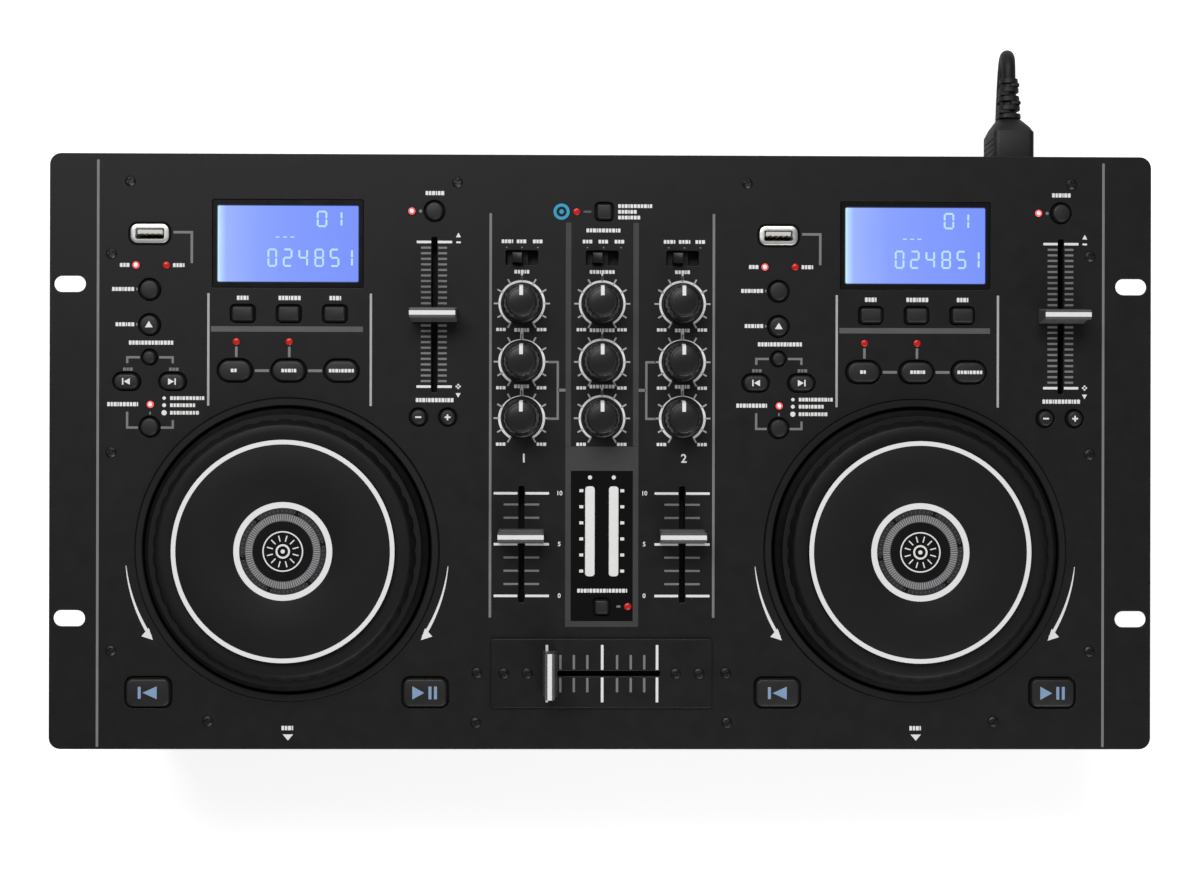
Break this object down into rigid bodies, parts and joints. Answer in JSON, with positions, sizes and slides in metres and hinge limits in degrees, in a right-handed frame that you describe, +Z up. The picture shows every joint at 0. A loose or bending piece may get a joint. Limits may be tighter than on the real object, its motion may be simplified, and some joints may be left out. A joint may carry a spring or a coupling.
{
  "type": "dual disc player and mixer console",
  "caption": "Rack-width tabletop console with two slot-loading disc decks, jog wheels, keys, displays and a mixer with faders and knobs.",
  "frame": {"origin": "on the surface it stands on, under the middle of the console's overall outline", "axes": "+X to the player's right along the panel's long side, +Y to the rear where the mains lead leaves, +Z up out of the panel's face"},
  "size_m": [0.4849, 0.3205, 0.1098],
  "materials": {
    "painted_panel": "satin black paint with printed legends",
    "painted_case": "fine textured black powder coat",
    "black_rubber": "matt moulded rubber",
    "black_screws": "blackened steel",
    "screen_lens": "clear lens over a blue backlit display",
    "jog_plastic": "satin moulded plastic",
    "jog_disc": "printed smooth plastic",
    "surround_plastic": "satin moulded plastic",
    "plated_steel": "nickel-plated pressed steel",
    "light_lens": "diffusing plastic light pipes",
    "board": "green printed board with black parts",
    "grey_steel": "galvanised sheet",
    "socket_plastic": "moulded sockets",
    "inlet_plastic": "moulded thermoplastic",
    "key_rubber": "soft-touch moulded keys",
    "knob_plastic": "soft-touch knob with a white pointer",
    "cap_silver": "silver-grey fader cap with a white line",
    "cord_jacket": "satin flexible cord jacket",
    "plug_body": "moulded flexible thermoplastic"
  },
  "bodies": {
    "console": {"top_panel": "painted_panel", "lower_case": "painted_case", "rubber_feet": "black_rubber", "panel_screws": "black_screws", "crossfader_plate": "painted_panel", "display_screens": "screen_lens", "jog_surrounds": "surround_plastic", "usb_sockets": "plated_steel", "indicator_lights": "light_lens", "control_boards": "board", "fader_tracks": "grey_steel", "disc_drives": "grey_steel", "audio_sockets": "socket_plastic", "mains_inlet": "inlet_plastic", "cord_connector": "plug_body", "cord_lead": "cord_jacket", "cord_coil": "cord_jacket", "mains_plug": "plug_body"},
    "jog_left": {"jog_wheel_left": "jog_plastic", "jog_top_left": "jog_disc"},
    "pitch_fader_left": {"pitch_fader_left": "cap_silver"},
    "cue_key_left": {"cue_key_left": "key_rubber"},
    "play_key_left": {"play_key_left": "key_rubber"},
    "select_eject_keys_left": {"select_eject_keys_left": "key_rubber"},
    "track_keys_left": {"track_keys_left": "key_rubber"},
    "jog_mode_key_left": {"jog_mode_key_left": "key_rubber"},
    "display_keys_left": {"display_keys_left": "key_rubber"},
    "loop_keys_left": {"loop_keys_left": "key_rubber"},
    "pitch_key_left": {"pitch_key_left": "key_rubber"},
    "bend_keys_left": {"bend_keys_left": "key_rubber"},
    "jog_right": {"jog_wheel_right": "jog_plastic", "jog_top_right": "jog_disc"},
    "pitch_fader_right": {"pitch_fader_right": "cap_silver"},
    "cue_key_right": {"cue_key_right": "key_rubber"},
    "play_key_right": {"play_key_right": "key_rubber"},
    "select_eject_keys_right": {"select_eject_keys_right": "key_rubber"},
    "track_keys_right": {"track_keys_right": "key_rubber"},
    "jog_mode_key_right": {"jog_mode_key_right": "key_rubber"},
    "display_keys_right": {"display_keys_right": "key_rubber"},
    "loop_keys_right": {"loop_keys_right": "key_rubber"},
    "pitch_key_right": {"pitch_key_right": "key_rubber"},
    "bend_keys_right": {"bend_keys_right": "key_rubber"},
    "pairing_key": {"pairing_key": "key_rubber"},
    "fader_start_key": {"fader_start_key": "key_rubber"},
    "slide_switch_left": {"slide_switch_left": "knob_plastic"},
    "knob_left_upper": {"knob_left_upper": "knob_plastic"},
    "knob_left_centre": {"knob_left_centre": "knob_plastic"},
    "knob_left_lower": {"knob_left_lower": "knob_plastic"},
    "slide_switch_middle": {"slide_switch_middle": "knob_plastic"},
    "knob_middle_upper": {"knob_middle_upper": "knob_plastic"},
    "knob_middle_centre": {"knob_middle_centre": "knob_plastic"},
    "knob_middle_lower": {"knob_middle_lower": "knob_plastic"},
    "slide_switch_right": {"slide_switch_right": "knob_plastic"},
    "knob_right_upper": {"knob_right_upper": "knob_plastic"},
    "knob_right_centre": {"knob_right_centre": "knob_plastic"},
    "knob_right_lower": {"knob_right_lower": "knob_plastic"},
    "line_fader_left": {"line_fader_left": "cap_silver"},
    "line_fader_right": {"line_fader_right": "cap_silver"},
    "crossfader": {"crossfader": "cap_silver"},
    "power_rocker": {"power_rocker": "inlet_plastic"}
  },
  "joints": [
    {"name": "jog_left_turn", "type": "hinge", "parent": "console", "child": "jog_left", "pos_m": [-0.1375, -0.043, 0.093], "axis": [0, 0, 1], "continuous": true},
    {"name": "pitch_fader_left_slide", "type": "slide", "parent": "console", "child": "pitch_fader_left", "axis": [0, 1, 0], "range_m": [-0.031, 0.031]},
    {"name": "cue_key_left_press", "type": "slide", "parent": "console", "child": "cue_key_left", "axis": [0, 0, -1], "range_m": [0, 0.001], "stiffness_N_per_m": 500, "springref_m": -0.0006},
    {"name": "play_key_left_press", "type": "slide", "parent": "console", "child": "play_key_left", "axis": [0, 0, -1], "range_m": [0, 0.001], "stiffness_N_per_m": 500, "springref_m": -0.0006},
    {"name": "select_eject_keys_left_press", "type": "slide", "parent": "console", "child": "select_eject_keys_left", "axis": [0, 0, -1], "range_m": [0, 0.001], "stiffness_N_per_m": 500, "springref_m": -0.0006},
    {"name": "track_keys_left_press", "type": "slide", "parent": "console", "child": "track_keys_left", "axis": [0, 0, -1], "range_m": [0, 0.001], "stiffness_N_per_m": 500, "springref_m": -0.0006},
    {"name": "jog_mode_key_left_press", "type": "slide", "parent": "console", "child": "jog_mode_key_left", "axis": [0, 0, -1], "range_m": [0, 0.001], "stiffness_N_per_m": 500, "springref_m": -0.0006},
    {"name": "display_keys_left_press", "type": "slide", "parent": "console", "child": "display_keys_left", "axis": [0, 0, -1], "range_m": [0, 0.001], "stiffness_N_per_m": 500, "springref_m": -0.0006},
    {"name": "loop_keys_left_press", "type": "slide", "parent": "console", "child": "loop_keys_left", "axis": [0, 0, -1], "range_m": [0, 0.001], "stiffness_N_per_m": 500, "springref_m": -0.0006},
    {"name": "pitch_key_left_press", "type": "slide", "parent": "console", "child": "pitch_key_left", "axis": [0, 0, -1], "range_m": [0, 0.001], "stiffness_N_per_m": 500, "springref_m": -0.0006},
    {"name": "bend_keys_left_press", "type": "slide", "parent": "console", "child": "bend_keys_left", "axis": [0, 0, -1], "range_m": [0, 0.001], "stiffness_N_per_m": 500, "springref_m": -0.0006},
    {"name": "jog_right_turn", "type": "hinge", "parent": "console", "child": "jog_right", "pos_m": [0.1375, -0.043, 0.093], "axis": [0, 0, 1], "continuous": true},
    {"name": "pitch_fader_right_slide", "type": "slide", "parent": "console", "child": "pitch_fader_right", "axis": [0, 1, 0], "range_m": [-0.031, 0.031]},
    {"name": "cue_key_right_press", "type": "slide", "parent": "console", "child": "cue_key_right", "axis": [0, 0, -1], "range_m": [0, 0.001], "stiffness_N_per_m": 500, "springref_m": -0.0006},
    {"name": "play_key_right_press", "type": "slide", "parent": "console", "child": "play_key_right", "axis": [0, 0, -1], "range_m": [0, 0.001], "stiffness_N_per_m": 500, "springref_m": -0.0006},
    {"name": "select_eject_keys_right_press", "type": "slide", "parent": "console", "child": "select_eject_keys_right", "axis": [0, 0, -1], "range_m": [0, 0.001], "stiffness_N_per_m": 500, "springref_m": -0.0006},
    {"name": "track_keys_right_press", "type": "slide", "parent": "console", "child": "track_keys_right", "axis": [0, 0, -1], "range_m": [0, 0.001], "stiffness_N_per_m": 500, "springref_m": -0.0006},
    {"name": "jog_mode_key_right_press", "type": "slide", "parent": "console", "child": "jog_mode_key_right", "axis": [0, 0, -1], "range_m": [0, 0.001], "stiffness_N_per_m": 500, "springref_m": -0.0006},
    {"name": "display_keys_right_press", "type": "slide", "parent": "console", "child": "display_keys_right", "axis": [0, 0, -1], "range_m": [0, 0.001], "stiffness_N_per_m": 500, "springref_m": -0.0006},
    {"name": "loop_keys_right_press", "type": "slide", "parent": "console", "child": "loop_keys_right", "axis": [0, 0, -1], "range_m": [0, 0.001], "stiffness_N_per_m": 500, "springref_m": -0.0006},
    {"name": "pitch_key_right_press", "type": "slide", "parent": "console", "child": "pitch_key_right", "axis": [0, 0, -1], "range_m": [0, 0.001], "stiffness_N_per_m": 500, "springref_m": -0.0006},
    {"name": "bend_keys_right_press", "type": "slide", "parent": "console", "child": "bend_keys_right", "axis": [0, 0, -1], "range_m": [0, 0.001], "stiffness_N_per_m": 500, "springref_m": -0.0006},
    {"name": "pairing_key_press", "type": "slide", "parent": "console", "child": "pairing_key", "axis": [0, 0, -1], "range_m": [0, 0.001], "stiffness_N_per_m": 500, "springref_m": -0.0006},
    {"name": "fader_start_key_press", "type": "slide", "parent": "console", "child": "fader_start_key", "axis": [0, 0, -1], "range_m": [0, 0.001], "stiffness_N_per_m": 500, "springref_m": -0.0006},
    {"name": "slide_switch_left_slide", "type": "slide", "parent": "console", "child": "slide_switch_left", "axis": [1, 0, 0], "range_m": [0, 0.004]},
    {"name": "knob_left_upper_turn", "type": "hinge", "parent": "console", "child": "knob_left_upper", "pos_m": [-0.0352, 0.065, 0.093], "axis": [0, 0, -1], "range_deg": [-150, 150]},
    {"name": "knob_left_centre_turn", "type": "hinge", "parent": "console", "child": "knob_left_centre", "pos_m": [-0.0352, 0.0395, 0.093], "axis": [0, 0, -1], "range_deg": [-150, 150]},
    {"name": "knob_left_lower_turn", "type": "hinge", "parent": "console", "child": "knob_left_lower", "pos_m": [-0.0352, 0.0148, 0.093], "axis": [0, 0, -1], "range_deg": [-150, 150]},
    {"name": "slide_switch_middle_slide", "type": "slide", "parent": "console", "child": "slide_switch_middle", "axis": [1, 0, 0], "range_m": [0, 0.004]},
    {"name": "knob_middle_upper_turn", "type": "hinge", "parent": "console", "child": "knob_middle_upper", "pos_m": [0, 0.065, 0.093], "axis": [0, 0, -1], "range_deg": [-150, 150]},
    {"name": "knob_middle_centre_turn", "type": "hinge", "parent": "console", "child": "knob_middle_centre", "pos_m": [0, 0.0395, 0.093], "axis": [0, 0, -1], "range_deg": [-150, 150]},
    {"name": "knob_middle_lower_turn", "type": "hinge", "parent": "console", "child": "knob_middle_lower", "pos_m": [0, 0.0148, 0.093], "axis": [0, 0, -1], "range_deg": [-150, 150]},
    {"name": "slide_switch_right_slide", "type": "slide", "parent": "console", "child": "slide_switch_right", "axis": [1, 0, 0], "range_m": [0, 0.004]},
    {"name": "knob_right_upper_turn", "type": "hinge", "parent": "console", "child": "knob_right_upper", "pos_m": [0.0352, 0.065, 0.093], "axis": [0, 0, -1], "range_deg": [-150, 150]},
    {"name": "knob_right_centre_turn", "type": "hinge", "parent": "console", "child": "knob_right_centre", "pos_m": [0.0352, 0.0395, 0.093], "axis": [0, 0, -1], "range_deg": [-150, 150]},
    {"name": "knob_right_lower_turn", "type": "hinge", "parent": "console", "child": "knob_right_lower", "pos_m": [0.0352, 0.0148, 0.093], "axis": [0, 0, -1], "range_deg": [-150, 150]},
    {"name": "line_fader_left_slide", "type": "slide", "parent": "console", "child": "line_fader_left", "axis": [0, 1, 0], "range_m": [-0.0261, 0.0189]},
    {"name": "line_fader_right_slide", "type": "slide", "parent": "console", "child": "line_fader_right", "axis": [0, 1, 0], "range_m": [-0.0261, 0.0189]},
    {"name": "crossfader_slide", "type": "slide", "parent": "console", "child": "crossfader", "axis": [1, 0, 0], "range_m": [0, 0.045]},
    {"name": "power_rocker_tilt", "type": "hinge", "parent": "console", "child": "power_rocker", "pos_m": [0.15, 0.122, 0.05], "axis": [-1, 0, 0], "range_deg": [0, 18]}
  ]
}
